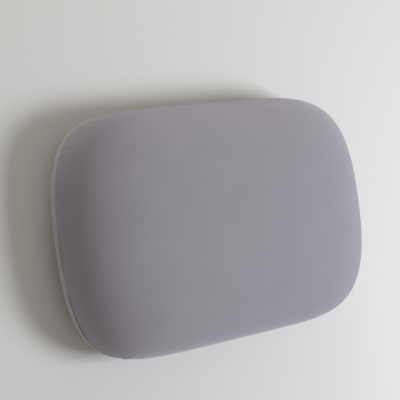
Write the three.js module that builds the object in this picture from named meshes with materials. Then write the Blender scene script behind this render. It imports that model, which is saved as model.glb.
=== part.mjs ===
// Memory foam neck pillow: a crowned loaf of foam in a two-panel knit cover, lying on its back.
// Units are millimetres. +X runs along the pillow, +Y across it, +Z out of its face.
// The origin is on the surface that the pillow lies on, under the middle of the pillow.

import * as THREE from "three";
import { mergeVertices } from "three/addons/utils/BufferGeometryUtils.js";

// Driving sizes
const LENGTH = 600;
const WIDTH = 400;
const CROWN_HEIGHT = 86; // crown above the seam
const SEAM_HEIGHT = 54; // seam above the surface that the pillow lies on
const REST_FLATTENING = 2; // how far its weight presses the back flat

// Outline seen face on: straight long sides, bowed short sides, round corners
const LONG_SIDE_SQUARENESS = 6.2;
const SHORT_SIDE_SQUARENESS = 2.5;
const TAPER = 0.012; // share by which the -X end is wider and the +X end narrower

// Section from the middle of a face out to the seam
const FRONT = { squareness: 5.4, fullness: 1.9 };
const BACK = { squareness: 4.5, fullness: 3 };

// Channel that the edge seam draws into the sides
const SEAM_DEPTH = 2.4;
const SEAM_HALF_WIDTH = 3.2;
const SEAM_STEPS = [9, 6, 4, 2.4, 1.2]; // how far the section's points beside the seam lie from it

// Fineness of the faceted surface
const STEPS_AROUND = 80;
const FRONT_STEPS = 15;
const BACK_STEPS = 10;
const OUTLINE_SAMPLES = 4000;
const WELD_DISTANCE = 1e-5;

const COVER_COLOUR = "#97939b";

// The pillow's outline in its seam plane.
class PillowOutline extends THREE.Curve {
  getPoint(share, target = new THREE.Vector3()) {
    const angle = share * 2 * Math.PI;
    const along = signedPower(Math.cos(angle), 2 / LONG_SIDE_SQUARENESS);
    const across = signedPower(Math.sin(angle), 2 / SHORT_SIDE_SQUARENESS);
    const taper = 1 - TAPER * along;
    return target.set((LENGTH / 2) * along, (WIDTH / 2) * across * taper, 0);
  }
}

function signedPower(value, exponent) {
  return Math.sign(value) * Math.abs(value) ** exponent;
}

// Height of a panel above the seam plane at a share of the way out from the middle.
function panelHeight(depth, section, reach) {
  return depth * (1 - reach ** section.squareness) ** (1 / section.fullness);
}

// Share of the way out at which a panel has come down to a height above the seam plane.
function panelReach(depth, section, height) {
  return (1 - (height / depth) ** section.fullness) ** (1 / section.squareness);
}

// One panel's section from the middle of its face to the last point before the seam.
function panelSection(depth, section, steps) {
  const points = [new THREE.Vector2(0, depth)];
  for (let step = 1; step < steps; step += 1) {
    const turn = (step / steps) * (Math.PI / 2);
    const reach = Math.sin(turn) ** (2 / section.squareness);
    const height = panelHeight(depth, section, reach);
    if (height > SEAM_STEPS[0]) {
      points.push(new THREE.Vector2(reach, height));
    }
  }
  for (const height of SEAM_STEPS) {
    points.push(new THREE.Vector2(panelReach(depth, section, height), height));
  }
  return points;
}

// The whole section, from the middle of the back to the crown. Each point's x is its share of the way out
// and its y is its height above the surface.
function pillowSection() {
  const backDepth = SEAM_HEIGHT + REST_FLATTENING;
  const flatReach = panelReach(backDepth, BACK, SEAM_HEIGHT);
  const back = panelSection(backDepth, BACK, BACK_STEPS).filter((point) => point.x > flatReach);
  const front = panelSection(CROWN_HEIGHT, FRONT, FRONT_STEPS).reverse();
  return [
    new THREE.Vector2(0, 0),
    new THREE.Vector2(flatReach, 0),
    ...back.map((point) => new THREE.Vector2(point.x, SEAM_HEIGHT - point.y)),
    new THREE.Vector2(1, SEAM_HEIGHT),
    ...front.map((point) => new THREE.Vector2(point.x, SEAM_HEIGHT + point.y)),
  ];
}

// Depth of the seam's channel at a height above the surface.
function seamDraw(height) {
  const away = (height - SEAM_HEIGHT) / SEAM_HALF_WIDTH;
  return SEAM_DEPTH * Math.exp(-away * away);
}

// Points evenly spaced round the outline, each with the direction that faces out there.
function outlineStations() {
  const outline = new PillowOutline();
  outline.arcLengthDivisions = OUTLINE_SAMPLES;
  const points = outline.getSpacedPoints(STEPS_AROUND).slice(0, STEPS_AROUND);
  return points.map((point, index) => {
    const before = points[(index + STEPS_AROUND - 1) % STEPS_AROUND];
    const after = points[(index + 1) % STEPS_AROUND];
    const outward = new THREE.Vector3(after.y - before.y, before.x - after.x, 0).normalize();
    return { point, outward };
  });
}

// A lathe of the section whose round turns are then led round the pillow's outline.
function pillowGeometry() {
  const section = pillowSection();
  const stations = outlineStations();
  const geometry = new THREE.LatheGeometry(section, STEPS_AROUND);
  const position = geometry.attributes.position;
  for (let turn = 0; turn <= STEPS_AROUND; turn += 1) {
    const { point, outward } = stations[turn % STEPS_AROUND];
    for (let row = 0; row < section.length; row += 1) {
      const { x: reach, y: height } = section[row];
      const draw = seamDraw(height) * reach;
      const x = point.x * reach - outward.x * draw;
      const y = point.y * reach - outward.y * draw;
      position.setXYZ(turn * section.length + row, x, y, height);
    }
  }
  geometry.deleteAttribute("normal");
  geometry.deleteAttribute("uv");
  const welded = mergeVertices(geometry, WELD_DISTANCE);
  welded.computeVertexNormals();
  return welded;
}

// The filled pillow, cover and foam in one
function makePillow() {
  const cover = new THREE.MeshStandardMaterial({ color: COVER_COLOUR, roughness: 0.9, metalness: 0 });
  const pillow = new THREE.Mesh(pillowGeometry(), cover);
  pillow.name = "pillow";
  return pillow;
}

const part = new THREE.Group();
part.add(makePillow());

export default part;
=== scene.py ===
import math
from collections import namedtuple

import bpy
import numpy as np
from mathutils import Matrix, Vector


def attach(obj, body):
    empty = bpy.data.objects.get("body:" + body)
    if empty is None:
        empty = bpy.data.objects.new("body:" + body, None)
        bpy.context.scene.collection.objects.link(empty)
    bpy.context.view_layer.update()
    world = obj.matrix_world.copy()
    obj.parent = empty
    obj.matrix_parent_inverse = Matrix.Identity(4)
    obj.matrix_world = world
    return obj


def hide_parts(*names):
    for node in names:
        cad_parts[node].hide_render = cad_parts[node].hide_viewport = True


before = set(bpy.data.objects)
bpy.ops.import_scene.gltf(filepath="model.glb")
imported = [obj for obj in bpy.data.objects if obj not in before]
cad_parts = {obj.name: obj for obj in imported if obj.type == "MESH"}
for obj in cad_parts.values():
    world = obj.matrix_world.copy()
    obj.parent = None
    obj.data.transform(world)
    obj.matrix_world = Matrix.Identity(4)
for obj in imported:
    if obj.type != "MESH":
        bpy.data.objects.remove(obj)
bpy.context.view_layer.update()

# Driving sizes, the same as the solid's
LENGTH = 0.600
WIDTH = 0.400
CROWN_HEIGHT = 0.086  # crown above the seam
SEAM_HEIGHT = 0.054  # seam above the floor
REST_FLATTENING = 0.002  # how far the pillow's weight presses its back flat
LONG_SIDE_SQUARENESS = 6.2
SHORT_SIDE_SQUARENESS = 2.5
TAPER = 0.012  # share by which the -X end is wider and the +X end narrower
FRONT_SQUARENESS, FRONT_FULLNESS = 5.4, 1.9
BACK_SQUARENESS, BACK_FULLNESS = 4.5, 3

# Channel that the edge seam draws into the sides
SEAM_DEPTH = 0.0027
SEAM_HALF_WIDTH = 0.0022  # where the channel has about a third of its depth
LIP_RISE, LIP_PLACE, LIP_HALF_WIDTH = 0.0004, 0.0050, 0.0026  # roll of the front panel beside the seam

# How the seam wanders between the two faces
SEAM_CORNER_DIP = 0.0080  # how far it runs towards the back at a corner
SEAM_SIDE_RISE = 0.0025  # how far it runs towards the front along a side
SEAM_WANDER_BAND = 0.028  # how far from the seam the cloth goes along with it
CORNER_SPAN = 0.02  # how far along the outline either way its turn is measured
CORNER_TURN = 0.42  # the turn over that stretch, in radians, that makes a full corner
CORNER_FALL = 1.5  # how fast a corner gives way to the sides

# Gathers beside the seam: waves round the pillow, with each one's count, height and phase
GATHER_WAVES = [
    (61, 0.00006, 0.4),
    (89, 0.00008, 2.1),
    (127, 0.00007, 5.0),
    (163, 0.00006, 1.2),
    (211, 0.00004, 3.7),
]
GATHER_REACH = 0.008  # distance from the seam at which they are highest
GATHER_CORNER_GAIN = 1.2  # share by which they are higher at a corner

# Puckers that run up from the seam. Columns: x and y on the outline, half-width along the seam, distance of
# the middle from the seam (below 0 on the back panel), half-length, height, and the side of its valley,
# which is 1 anticlockwise of its ridge, seen face on, and -1 clockwise
PUCKERS = [
    (-0.213, -0.191, 0.0050, 0.018, 0.014, 0.0016, 1),
    (-0.262, -0.158, 0.0060, 0.004, 0.010, 0.0007, 1),
    (-0.236, 0.182, 0.0048, 0.010, 0.008, 0.0006, 1),
    (-0.268, 0.153, 0.0045, -0.006, 0.006, 0.0007, -1),
    (0.262, -0.160, 0.0046, 0.011, 0.008, 0.0008, 1),
    (0.214, -0.190, 0.0043, 0.012, 0.009, 0.0006, -1),
    (0.250, 0.170, 0.0050, 0.013, 0.010, 0.0008, -1),
    (0.205, 0.193, 0.0042, 0.009, 0.008, 0.0005, 1),
]
VALLEY_DEPTH = 0.8  # depth of a pucker's valley as a share of its ridge's height
VALLEY_PLACE = 1.9  # how many half-widths lie between the two

# Painted shade in the seam's crease, which darkens the cloth's colour: a little all round, more at the
# spots below. Columns: x and y on the outline, half-width along the seam, and the painted shade it adds
CREASE_PAINTED_SHADE = 0.18
DARKEST_PAINTED_SHADE = 0.9
CREASE_FRONT, CREASE_BACK = 0.0014, 0.0024  # how far the crease's shade runs onto each panel
LEAST_SPREAD, ADDED_SPREAD = 0.7, 0.7  # shares of that: what every crease has, and what darkness adds to it
PAINTED_SHADE_SPOTS = [
    (-0.300, -0.018, 0.026, 0.24),
    (-0.294, -0.090, 0.018, 0.34),
    (-0.277, -0.139, 0.032, 0.56),
    (-0.240, 0.180, 0.020, 0.10),
    (0.265, -0.155, 0.025, 0.45),
    (0.245, 0.175, 0.025, 0.40),
    (0.060, 0.199, 0.040, 0.20),
    (0.080, -0.199, 0.035, 0.25),
]

# Stitches of the edge seam, which dimple the cloth beside it
STITCH_COUNT = 560  # round the whole pillow, about 3 mm apart
STITCH_REACH = 0.0022  # how far from the seam the dimples run
STITCH_RELIEF, STITCH_STRENGTH = 0.0003, 0.6  # height of their bump, and its strength from 0 to 1

# Fineness of the cover before its one subdivision
CAP_STEPS = 36  # steps from the middle of a face to the rim of its grid
CAP_ROUNDNESS = 0.7  # 0 keeps the grid square and 1 makes it round
FRONT_CAP_REACH = 0.72  # share of the way out where the grid ends and the rings begin
BACK_CAP_REACH = 0.62
FINEST_ROW, ROW_GROWTH, WIDEST_ROW = 0.0011, 1.22, 0.0068  # rows widen away from the seam
CURVE_SAMPLES = 20000
OUTWARD_STEP = 0.003  # how far along the outline either way its direction is taken
TINY = 1e-6  # keeps the middle of a face from being divided by nothing

MEAN_RADIUS = (LENGTH + WIDTH) / 4  # stands in for the way from the middle of a face out to the seam


def signed_power(value, exponent):
    return np.sign(value) * np.abs(value) ** exponent


def make_outline():
    """The outline seen face on: even shares of the way round it, the points there, and its whole length."""
    angle = np.linspace(0, 2 * math.pi, CURVE_SAMPLES + 1)
    along = signed_power(np.cos(angle), 2 / LONG_SIDE_SQUARENESS)
    across = signed_power(np.sin(angle), 2 / SHORT_SIDE_SQUARENESS)
    points = np.stack([LENGTH / 2 * along, WIDTH / 2 * across * (1 - TAPER * along)], axis=1)
    walked = np.append(0, np.cumsum(np.linalg.norm(np.diff(points, axis=0), axis=1)))
    share = np.linspace(0, 1, CURVE_SAMPLES + 1)
    even = np.stack([np.interp(share, walked / walked[-1], points[:, axis]) for axis in (0, 1)], axis=1)
    return share, even, walked[-1]


OUTLINE_SHARE, OUTLINE_POINT, OUTLINE_LENGTH = make_outline()
OUTLINE_ANGLE = np.unwrap(np.arctan2(OUTLINE_POINT[:, 1], OUTLINE_POINT[:, 0]))


def outline_point(share):
    """Points of the outline at shares of the way round it."""
    turned = np.mod(share, 1)
    return np.stack([np.interp(turned, OUTLINE_SHARE, OUTLINE_POINT[:, axis]) for axis in (0, 1)], axis=-1)


def outline_outward(share):
    """Directions that face straight out of the outline."""
    step = OUTWARD_STEP / OUTLINE_LENGTH
    ahead = outline_point(share + step) - outline_point(share - step)
    outward = np.stack([ahead[..., 1], -ahead[..., 0]], axis=-1)
    return outward / np.linalg.norm(outward, axis=-1, keepdims=True)


def share_round(points):
    """Share of the way round the outline of points seen face on."""
    angle = np.mod(np.arctan2(points[..., 1], points[..., 0]), 2 * math.pi)
    return np.interp(angle, OUTLINE_ANGLE, OUTLINE_SHARE)


def reach_of(points):
    """How far out points lie, from 0 in the middle to 1 at the outline."""
    edge = outline_point(share_round(points))
    return np.linalg.norm(points, axis=-1) / np.linalg.norm(edge, axis=-1)


def front_height(reach):
    return SEAM_HEIGHT + CROWN_HEIGHT * (1 - reach**FRONT_SQUARENESS) ** (1 / FRONT_FULLNESS)


def back_height(reach):
    depth = SEAM_HEIGHT + REST_FLATTENING
    height = SEAM_HEIGHT - depth * (1 - reach**BACK_SQUARENESS) ** (1 / BACK_FULLNESS)
    return np.maximum(height, 0)


def section_curve(height_at, squareness):
    """The section from the seam in to the middle, as fine samples: distance walked, reach and height."""
    turn = np.linspace(math.pi / 2, 0, CURVE_SAMPLES)
    reach = np.sin(turn) ** (2 / squareness)
    height = height_at(reach)
    walked = np.append(0, np.cumsum(np.hypot(np.diff(reach) * MEAN_RADIUS, np.diff(height))))
    return walked, reach, height


def row_places(length):
    """Distances of the rings from the seam, close together beside it and wider apart farther in."""
    steps = [0.0]
    width = FINEST_ROW
    while steps[-1] < length:
        steps.append(steps[-1] + width)
        width = min(width * ROW_GROWTH, WIDEST_ROW)
    return np.array(steps) * length / steps[-1]


def cap_points(cap_reach):
    """Points of the grid over a face's middle, which follows ovals inside and the outline near its rim."""
    line = np.linspace(-1, 1, 2 * CAP_STEPS + 1)
    u, v = np.meshgrid(line, line)
    x = u * np.sqrt(1 - CAP_ROUNDNESS * v * v / 2)
    y = v * np.sqrt(1 - CAP_ROUNDNESS * u * u / 2)
    share = np.mod(np.arctan2(y, x) / (2 * math.pi), 1)
    out = np.hypot(x, y)  # 1 in the middle of the grid's side
    blend = np.minimum(out, 1) ** 2 * (3 - 2 * np.minimum(out, 1))
    turn = 2 * math.pi * share
    oval = np.stack([LENGTH / 2 * np.cos(turn), WIDTH / 2 * np.sin(turn)], axis=-1)
    shape = (1 - blend)[..., None] * oval + blend[..., None] * outline_point(share)
    return (cap_reach * out[..., None] * shape).reshape(-1, 2)


def rim_of_grid():
    """Row and column numbers of the grid's rim, once round from the middle of the +X side."""
    last = 2 * CAP_STEPS
    right = [(row, last) for row in range(0, last)]
    top = [(last, column) for column in range(last, 0, -1)]
    left = [(row, 0) for row in range(last, 0, -1)]
    bottom = [(0, column) for column in range(0, last)]
    rim = right + top + left + bottom
    return rim[CAP_STEPS:] + rim[:CAP_STEPS]


# One panel: its points, how many times as long the way out to each is over the cloth as in plan, each one's
# distance from the seam, the quads, and the numbers of the points on the seam
Panel = namedtuple("Panel", "points unrolled from_seam quads seam")


def make_panel(height_at, cap_reach, squareness):
    """One panel of the cover: a grid over the middle of its face, and rings from there out to the seam."""
    grid = cap_points(cap_reach)
    side = 2 * CAP_STEPS + 1
    numbers = np.arange(side * side).reshape(side, side)
    rim = np.array([numbers[cell] for cell in rim_of_grid()])
    around = len(rim)

    walked, reach, height = section_curve(height_at, squareness)
    grid_reach = reach_of(grid)
    grid_walked = np.interp(-grid_reach, -reach, walked)
    rim_share = share_round(grid[rim])
    rim_walked = grid_walked[rim]
    places = row_places(rim_walked.max())[:-1, None] * rim_walked / rim_walked.max()
    ring_reach = np.interp(places, walked, reach)
    rings = outline_point(rim_share) * ring_reach[..., None]
    points = [np.column_stack([grid, height_at(grid_reach)])]
    points += [np.column_stack([ring, at]) for ring, at in zip(rings, np.interp(places, walked, height))]
    from_seam = np.append(grid_walked, places)
    plan = MEAN_RADIUS * np.append(grid_reach, ring_reach)
    unrolled = (walked[-1] - from_seam + TINY) / (plan + TINY)

    corners = [numbers[:-1, :-1], numbers[:-1, 1:], numbers[1:, 1:], numbers[1:, :-1]]
    quads = [np.stack(corners, axis=-1).reshape(-1, 4)]
    ring_numbers = [len(grid) + row * around + np.arange(around) for row in range(len(rings))] + [rim]
    for outer, inner in zip(ring_numbers[:-1], ring_numbers[1:]):
        quads.append(np.stack([outer, np.roll(outer, -1), np.roll(inner, -1), inner], axis=-1))
    return Panel(np.concatenate(points), unrolled, from_seam, np.concatenate(quads), ring_numbers[0])


def vertex_vectors(mesh, name):
    """The places ("co") or the normals ("normal") of a mesh's vertices."""
    flat = np.empty(len(mesh.vertices) * 3, np.float32)
    mesh.vertices.foreach_get(name, flat)
    return flat.reshape(-1, 3).astype(float)


def set_vertex_places(mesh, places):
    mesh.vertices.foreach_set("co", places.astype(np.float32).ravel())
    mesh.update()


def attribute_values(mesh, name):
    values = np.empty(len(mesh.vertices), np.float32)
    mesh.attributes[name].data.foreach_get("value", values)
    return values.astype(float)


def set_values(mesh, name, values):
    layer = mesh.attributes.new(name, "FLOAT", "POINT")
    layer.data.foreach_set("value", values.astype(np.float32))


def set_vectors(mesh, name, values):
    layer = mesh.attributes.new(name, "FLOAT_VECTOR", "POINT")
    layer.data.foreach_set("vector", values.astype(np.float32).ravel())


def make_cover():
    """The whole cover as one closed mesh: two panels joined at the seam, each with a material of its own.

    Distances from the seam are below 0 on the back panel.
    """
    front = make_panel(front_height, FRONT_CAP_REACH, FRONT_SQUARENESS)
    back = make_panel(back_height, BACK_CAP_REACH, BACK_SQUARENESS)
    own = np.ones(len(back.points), bool)
    own[back.seam] = False
    renumbered = np.empty(len(back.points), int)
    renumbered[own] = len(front.points) + np.arange(own.sum())
    renumbered[back.seam] = front.seam
    quads = np.concatenate([front.quads, renumbered[back.quads][:, ::-1]])
    mesh = bpy.data.meshes.new("pillow_cover")
    mesh.from_pydata(np.concatenate([front.points, back.points[own]]).tolist(), [], quads.tolist())
    set_values(mesh, "unrolled", np.concatenate([front.unrolled, back.unrolled[own]]))
    set_values(mesh, "from_seam", np.concatenate([front.from_seam, -back.from_seam[own]]))
    panel = np.append(np.zeros(len(front.quads), np.int32), np.ones(len(back.quads), np.int32))
    mesh.polygons.foreach_set("material_index", panel)
    cover = bpy.data.objects.new("pillow_cover", mesh)
    bpy.context.scene.collection.objects.link(cover)
    return cover


# Cloth simulation that swells the cover over its filling
CLOTH_PRESSURE = 4.0
CLOTH_FRAMES = 20
CLOTH_MASS = 0.15
CLOTH_QUALITY = 4
CLOTH_HOLD = 0.18  # how firmly the foam under the cloth keeps it to its form
CLOTH_HOLD_STIFFNESS = 0.3
CLOTH_START = 0.0003  # how far inside its finished form the cover starts
CLOTH_REACH = 0.0025  # the furthest that a point may move
TOUCHING = 1e-5  # a point this close to the seam or the floor is held fast
FLOOR_BAND = 0.012  # height over which the floor's hold on the back panel fades


def settle_cloth(cover):
    """Swells the cover as cloth under pressure.

    It is sewn fast at its seam and lies flat on the floor, and the foam holds it elsewhere.
    """
    mesh = cover.data
    form = vertex_vectors(mesh, "co")
    normals = vertex_vectors(mesh, "normal")
    from_seam = attribute_values(mesh, "from_seam")
    fast = (np.abs(from_seam) < TOUCHING) | (form[:, 2] < TOUCHING)
    near_floor = np.where(from_seam < 0, np.clip(1 - form[:, 2] / FLOOR_BAND, 0, 1), 0)
    hold = np.where(fast, 1.0, np.maximum(CLOTH_HOLD, near_floor))
    start = form - normals * (CLOTH_START * (1 - hold))[:, None]
    set_vertex_places(mesh, start)
    group = cover.vertex_groups.new(name="hold")
    for index, weight in enumerate(hold):
        group.add([index], weight, "REPLACE")

    modifier = cover.modifiers.new("cloth", "CLOTH")
    cloth = modifier.settings
    cloth.quality = CLOTH_QUALITY
    cloth.mass = CLOTH_MASS
    cloth.use_pressure = True
    cloth.uniform_pressure_force = CLOTH_PRESSURE
    cloth.effector_weights.gravity = 0
    cloth.vertex_group_mass = "hold"
    cloth.pin_stiffness = CLOTH_HOLD_STIFFNESS
    modifier.collision_settings.use_collision = False
    modifier.point_cache.frame_start = 1
    modifier.point_cache.frame_end = CLOTH_FRAMES
    for frame_number in range(1, CLOTH_FRAMES + 1):
        bpy.context.scene.frame_set(frame_number)
    evaluated = cover.evaluated_get(bpy.context.evaluated_depsgraph_get())
    moved = vertex_vectors(evaluated.data, "co") - start
    cover.modifiers.clear()
    cover.vertex_groups.clear()
    bpy.context.scene.frame_set(1)

    length = np.linalg.norm(moved, axis=1)
    moved *= (CLOTH_REACH / np.hypot(CLOTH_REACH, length))[:, None]
    settled = start + moved
    settled[:, 2] = np.maximum(settled[:, 2], 0)
    set_vertex_places(mesh, settled)


def subdivide(cover):
    """One smooth subdivision of the cover, applied."""
    modifier = cover.modifiers.new("subdivision", "SUBSURF")
    modifier.levels = modifier.render_levels = 1
    evaluated = cover.evaluated_get(bpy.context.evaluated_depsgraph_get())
    finer = bpy.data.meshes.new_from_object(evaluated)
    cover.modifiers.clear()
    coarse = cover.data
    cover.data = finer
    bpy.data.meshes.remove(coarse)
    finer.name = "pillow_cover"
    finer.polygons.foreach_set("use_smooth", np.ones(len(finer.polygons), bool))


def along_seam(share, x, y):
    """Signed distances along the seam from a place on the outline."""
    apart = share - share_round(np.array([x, y]))
    return (np.mod(apart + 0.5, 1) - 0.5) * OUTLINE_LENGTH


def corner_share(share):
    """From 0 along the sides to 1 where the outline turns most sharply."""
    step = CORNER_SPAN / OUTLINE_LENGTH
    before, after = outline_outward(share - step), outline_outward(share + step)
    turned = np.arccos(np.clip(np.sum(before * after, axis=1), -1, 1))
    return np.clip(turned / CORNER_TURN, 0, 1) ** CORNER_FALL


def bell(distance, half_width):
    """1 in the middle, and about a third a half-width away from it."""
    return np.exp(-((distance / half_width) ** 2))


def draw_in_seam(cover):
    """Sews the edge: the channel, the roll and gathers beside it, the puckers, and the seam's wandering."""
    mesh = cover.data
    places = vertex_vectors(mesh, "co")
    from_seam = attribute_values(mesh, "from_seam")
    apart = np.abs(from_seam)
    share = share_round(places[:, :2])
    outward = outline_outward(share)
    corner = corner_share(share)

    draw = SEAM_DEPTH * np.exp(-apart / SEAM_HALF_WIDTH)
    draw -= LIP_RISE * bell(from_seam - LIP_PLACE, LIP_HALF_WIDTH)
    waves = [height * np.sin(2 * math.pi * count * share + phase) for count, height, phase in GATHER_WAVES]
    gathers = sum(waves)
    beside = apart / GATHER_REACH * np.exp(1 - apart / GATHER_REACH)
    draw += gathers * beside * (1 + GATHER_CORNER_GAIN * corner)
    for x, y, half_width, middle, half_length, height, side in PUCKERS:
        along = along_seam(share, x, y)
        valley = bell(along - VALLEY_PLACE * side * half_width, half_width)
        fold = bell(along, half_width) - VALLEY_DEPTH * valley
        draw -= height * fold * bell(from_seam - middle, half_length)
    places[:, :2] -= outward * draw[:, None]
    wander = SEAM_SIDE_RISE * (1 - corner) - SEAM_CORNER_DIP * corner
    places[:, 2] += wander * bell(apart, SEAM_WANDER_BAND)
    set_vertex_places(mesh, places)
    mark_seam(mesh, share, from_seam)


def mark_seam(mesh, share, from_seam):
    """Gives each point the shade of the seam's crease, and its way round the pillow for the stitches."""
    apart = np.abs(from_seam)
    # painted shade of the crease: a little all round, more at the listed spots
    darkness = np.full(len(share), CREASE_PAINTED_SHADE)
    for x, y, half_width, extra in PAINTED_SHADE_SPOTS:
        darkness += extra * bell(along_seam(share, x, y), half_width)
    spread = LEAST_SPREAD + ADDED_SPREAD * darkness
    reach = np.where(from_seam > 0, CREASE_FRONT, CREASE_BACK) * spread
    set_values(mesh, "crease", np.clip(darkness, 0, DARKEST_PAINTED_SHADE) * bell(apart, reach))
    turn = 2 * math.pi * share
    set_vectors(mesh, "round", np.stack([np.cos(turn), np.sin(turn), bell(apart, STITCH_REACH)], axis=1))


def lay_cloth(cover):
    """Gives each point its place on the flat cloth, which the knit's stitches follow."""
    mesh = cover.data
    cloth = vertex_vectors(mesh, "co")
    cloth[:, :2] *= attribute_values(mesh, "unrolled")[:, None]
    set_vectors(mesh, "cloth", cloth)


class Shader:
    """A material's node tree, with short ways to add nodes to it."""

    def __init__(self, name):
        self.material = bpy.data.materials.new(name)
        self.material.use_nodes = True
        self.tree = self.material.node_tree
        self.tree.nodes.clear()
        self.surface = self.node("ShaderNodeBsdfPrincipled")
        output = self.node("ShaderNodeOutputMaterial")
        self.tree.links.new(self.surface.outputs["BSDF"], output.inputs["Surface"])

    def node(self, kind, **settings):
        made = self.tree.nodes.new(kind)
        for name, value in settings.items():
            setattr(made, name, value)
        return made

    def feed(self, socket, value):
        if isinstance(value, bpy.types.NodeSocket):
            self.tree.links.new(value, socket)
        else:
            socket.default_value = value

    def attribute(self, name, output):
        return self.node("ShaderNodeAttribute", attribute_name=name).outputs[output]

    def parts(self, vector):
        """The X, Y and Z of a vector."""
        made = self.node("ShaderNodeSeparateXYZ")
        self.feed(made.inputs["Vector"], vector)
        return made.outputs

    def maths(self, operation, *values):
        made = self.node("ShaderNodeMath", operation=operation)
        for socket, value in zip(made.inputs, values):
            self.feed(socket, value)
        return made.outputs["Value"]

    def noise(self, vector, grain, detail):
        """Noise with about so many grains per metre along each axis."""
        scaled = self.node("ShaderNodeVectorMath", operation="MULTIPLY")
        self.feed(scaled.inputs[0], vector)
        scaled.inputs[1].default_value = grain
        made = self.node("ShaderNodeTexNoise")
        self.feed(made.inputs["Vector"], scaled.outputs["Vector"])
        made.inputs["Scale"].default_value = 1.0
        made.inputs["Detail"].default_value = detail
        return made.outputs["Fac"]

    def between(self, value, given, wanted=(0.0, 1.0)):
        """A value carried over from the given range to the wanted one."""
        made = self.node("ShaderNodeMapRange")
        sockets = ("Value", "From Min", "From Max", "To Min", "To Max")
        for name, number in zip(sockets, (value, *given, *wanted)):
            self.feed(made.inputs[name], number)
        return made.outputs["Result"]

    def bumped(self, height, distance, strength, under=None):
        made = self.node("ShaderNodeBump")
        made.inputs["Strength"].default_value = strength
        made.inputs["Distance"].default_value = distance
        self.feed(made.inputs["Height"], height)
        if under is not None:
            self.feed(made.inputs["Normal"], under)
        return made.outputs["Normal"]

    def mixed(self, share, first, second):
        made = self.node("ShaderNodeMix", data_type="RGBA")
        self.feed(made.inputs["Factor"], share)
        self.feed(made.inputs["A"], first)
        self.feed(made.inputs["B"], second)
        return made.outputs["Result"]

    def dimmed(self, colour, share):
        """A colour made darker by a share."""
        made = self.node("ShaderNodeVectorMath", operation="SCALE")
        self.feed(made.inputs[0], colour)
        self.feed(made.inputs["Scale"], self.maths("SUBTRACT", 1.0, share))
        return made.outputs["Vector"]


def shaded(colour, factor):
    """A colour times a factor, as a socket takes it."""
    return tuple(channel * factor for channel in colour) + (1.0,)


# The knit's stitches
WALE = 0.0012  # width of one column of stitches
COURSE = 0.0010  # height of one row of stitches
STITCH_SLANT = 0.55  # share of a course by which a stitch's legs climb
LEG_HEIGHT = 0.6  # height of the legs beside that of the furrows between columns
KNIT_SWING = 0.31  # keeps the two together between 0 and 1
KNIT_RELIEF, KNIT_STRENGTH = 0.00018, 0.5  # height of their bump, and its strength from 0 to 1

# The knit's yarn
FRONT_COLOUR = (0.295, 0.276, 0.314)
BACK_COLOUR = (0.41, 0.405, 0.41)
MELANGE = 0.05  # share by which the yarn's tones lie above and below its colour
YARN_GRAIN, YARN_DETAIL = (700, 260, 700), 2.0
BROAD_GRAIN, BROAD_DETAIL = (14, 14, 14), 3.0
BROAD_WEIGHT = 0.6  # how much the broad unevenness counts beside the yarn's own
TONE_RANGE = (0.25, 0.75)
YARN_RANGE, ROUGHNESS_RANGE = (0.2, 0.8), (0.82, 0.93)
SPECULAR = 0.25
SHEEN_WEIGHT, SHEEN_ROUGHNESS = 0.45, 0.5
SHEEN_TINT = (0.86, 0.84, 0.95, 1.0)


def knit_height(shader, cloth):
    """Height of the knit from 0 to 1: columns of stitches whose two legs slant towards each other."""
    place = shader.parts(cloth)
    column = shader.maths("FRACT", shader.maths("MULTIPLY", place["X"], 1 / WALE))
    across = shader.maths("ABSOLUTE", shader.maths("SUBTRACT", column, 0.5))
    row = shader.maths("MULTIPLY", place["Y"], 1 / COURSE)
    climbed = shader.maths("MULTIPLY_ADD", across, 2 * STITCH_SLANT, row)
    legs = shader.maths("SINE", shader.maths("MULTIPLY", climbed, 2 * math.pi))
    furrow = shader.maths("COSINE", shader.maths("MULTIPLY", across, 2 * math.pi))
    both = shader.maths("MULTIPLY_ADD", legs, LEG_HEIGHT, furrow)
    return shader.maths("MULTIPLY_ADD", both, KNIT_SWING, 0.5)


def seam_dimples(shader):
    """Height of the dimples that the seam's stitches pull into the cloth, fading away from the seam."""
    place = shader.parts(shader.attribute("round", "Vector"))
    turn = shader.maths("ARCTAN2", place["Y"], place["X"])
    wave = shader.maths("SINE", shader.maths("MULTIPLY", turn, STITCH_COUNT))
    return shader.maths("MULTIPLY", wave, place["Z"])


def knit_material(name, colour):
    """Fine stretch knit: even yarn, a faint melange, stitch relief, the seam's dimples, and painted shade
    in its crease.
    """
    shader = Shader(name)
    sockets = shader.surface.inputs
    cloth = shader.attribute("cloth", "Vector")
    yarn = shader.noise(cloth, YARN_GRAIN, YARN_DETAIL)
    broad = shader.noise(cloth, BROAD_GRAIN, BROAD_DETAIL)
    tone = shader.maths("MULTIPLY_ADD", shader.maths("SUBTRACT", broad, 0.5), BROAD_WEIGHT, yarn)
    dark, light = shaded(colour, 1 - MELANGE), shaded(colour, 1 + MELANGE)
    body = shader.mixed(shader.between(tone, TONE_RANGE), dark, light)
    # the yarn's colour darkened by the painted shade of the seam's crease
    shader.feed(sockets["Base Color"], shader.dimmed(body, shader.attribute("crease", "Fac")))
    shader.feed(sockets["Roughness"], shader.between(yarn, YARN_RANGE, ROUGHNESS_RANGE))
    sockets["Specular IOR Level"].default_value = SPECULAR
    sockets["Sheen Weight"].default_value = SHEEN_WEIGHT
    sockets["Sheen Roughness"].default_value = SHEEN_ROUGHNESS
    sockets["Sheen Tint"].default_value = SHEEN_TINT

    sewn = shader.bumped(seam_dimples(shader), STITCH_RELIEF, STITCH_STRENGTH)
    knitted = shader.bumped(knit_height(shader, cloth), KNIT_RELIEF, KNIT_STRENGTH, sewn)
    shader.feed(sockets["Normal"], knitted)
    return shader.material


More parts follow.
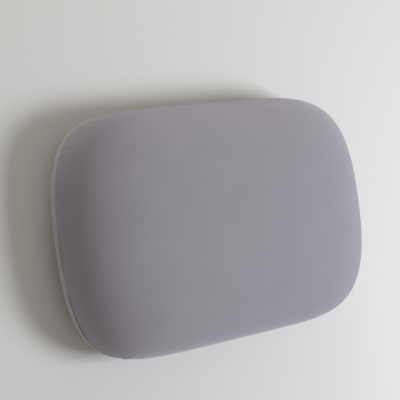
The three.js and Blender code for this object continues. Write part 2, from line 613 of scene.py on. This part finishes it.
def add_pillow():
    cover = make_cover()
    settle_cloth(cover)
    subdivide(cover)
    draw_in_seam(cover)
    lay_cloth(cover)
    cover.data.materials.append(knit_material("front_knit", FRONT_COLOUR))
    cover.data.materials.append(knit_material("back_knit", BACK_COLOUR))
    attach(cover, "root")
    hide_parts("pillow")


FLOOR_HALF_SIZE = 8.0
FLOOR_DROP = 0.0003  # keeps it just clear of the pillow's flat back
FLOOR_COLOUR = (0.70, 0.695, 0.69)
FLOOR_SHADE = 0.985  # its darker tone as a share of its colour
FLOOR_GRAIN, FLOOR_DETAIL = (3, 3, 3), 3.0
FLOOR_ROUGHNESS, FLOOR_SPECULAR = 0.9, 0.2


def add_floor():
    """A plain pale floor under the pillow."""
    shader = Shader("pale_floor")
    sockets = shader.surface.inputs
    where = shader.node("ShaderNodeTexCoord").outputs["Object"]
    grain = shader.noise(where, FLOOR_GRAIN, FLOOR_DETAIL)
    dark, light = shaded(FLOOR_COLOUR, FLOOR_SHADE), shaded(FLOOR_COLOUR, 1)
    shader.feed(sockets["Base Color"], shader.mixed(grain, dark, light))
    sockets["Roughness"].default_value = FLOOR_ROUGHNESS
    sockets["Specular IOR Level"].default_value = FLOOR_SPECULAR
    mesh = bpy.data.meshes.new("floor")
    half = FLOOR_HALF_SIZE
    corners = [(-half, -half, 0), (half, -half, 0), (half, half, 0), (-half, half, 0)]
    mesh.from_pydata(corners, [], [(0, 1, 2, 3)])
    mesh.materials.append(shader.material)
    floor = bpy.data.objects.new("floor", mesh)
    floor.location.z = -FLOOR_DROP
    bpy.context.scene.collection.objects.link(floor)


# Camera at the photo's angle to the pillow's face
CAMERA_AZIMUTH = math.radians(34.05)  # round from the face's normal towards -X
CAMERA_ELEVATION = math.radians(1.41)  # towards +Y
CAMERA_ROLL = math.radians(-7.49)
CAMERA_DISTANCE = 1.970  # from the middle of the seam's plane
CAMERA_ASIDE = (0.0279, -0.0365)  # how far the pillow's middle lies from the picture's, right and up
CAMERA_LENS, CAMERA_SENSOR = 105.2, 36  # focal length and the sensor's width, in mm


def add_camera():
    azimuth, elevation, roll = CAMERA_AZIMUTH, CAMERA_ELEVATION, CAMERA_ROLL
    back = Vector((
        -math.sin(azimuth) * math.cos(elevation),
        math.sin(elevation),
        math.cos(azimuth) * math.cos(elevation),
    ))
    level_right = Vector((0, 1, 0)).cross(back).normalized()
    level_up = back.cross(level_right)
    right = math.cos(roll) * level_right + math.sin(roll) * level_up
    up = math.cos(roll) * level_up - math.sin(roll) * level_right
    middle = Vector((0, 0, SEAM_HEIGHT))
    place = middle + CAMERA_DISTANCE * back - CAMERA_ASIDE[0] * right - CAMERA_ASIDE[1] * up
    data = bpy.data.cameras.new("camera")
    data.sensor_width = CAMERA_SENSOR
    data.lens = CAMERA_LENS
    camera = bpy.data.objects.new("camera", data)
    turned = Matrix((right, up, back)).transposed().to_4x4()
    turned.translation = place
    camera.matrix_world = turned
    bpy.context.scene.collection.objects.link(camera)
    bpy.context.scene.camera = camera


# Each light faces the origin: where it stands, its width, its power in watts and its colour
LIGHTS = {
    "key_softbox": {
        "place": (1.450, -0.528, 1.839), "width": 0.9, "power": 42.5, "colour": (0.946, 1.0, 1.057),
    },
    "top_softbox": {
        "place": (0.0, 2.348, 0.499), "width": 0.9, "power": 15.6, "colour": (1.034, 1.0, 0.932),
    },
}
WORLD_COLOUR = (1.045, 1.0, 0.913)
WORLD_STRENGTH = 0.350


def add_lights():
    for name, light in LIGHTS.items():
        data = bpy.data.lights.new(name, "AREA")
        data.shape = "SQUARE"
        data.size = light["width"]
        data.energy = light["power"]
        data.color = light["colour"]
        lamp = bpy.data.objects.new(name, data)
        lamp.location = light["place"]
        lamp.rotation_mode = "QUATERNION"
        lamp.rotation_quaternion = Vector(light["place"]).to_track_quat("Z", "Y")
        bpy.context.scene.collection.objects.link(lamp)
    world = bpy.data.worlds.new("studio")
    world.use_nodes = True
    background = world.node_tree.nodes["Background"]
    background.inputs["Color"].default_value = WORLD_COLOUR + (1.0,)
    background.inputs["Strength"].default_value = WORLD_STRENGTH
    bpy.context.scene.world = world
    bpy.context.scene.view_settings.view_transform = "Standard"


add_camera()
add_pillow()
add_floor()
add_lights()
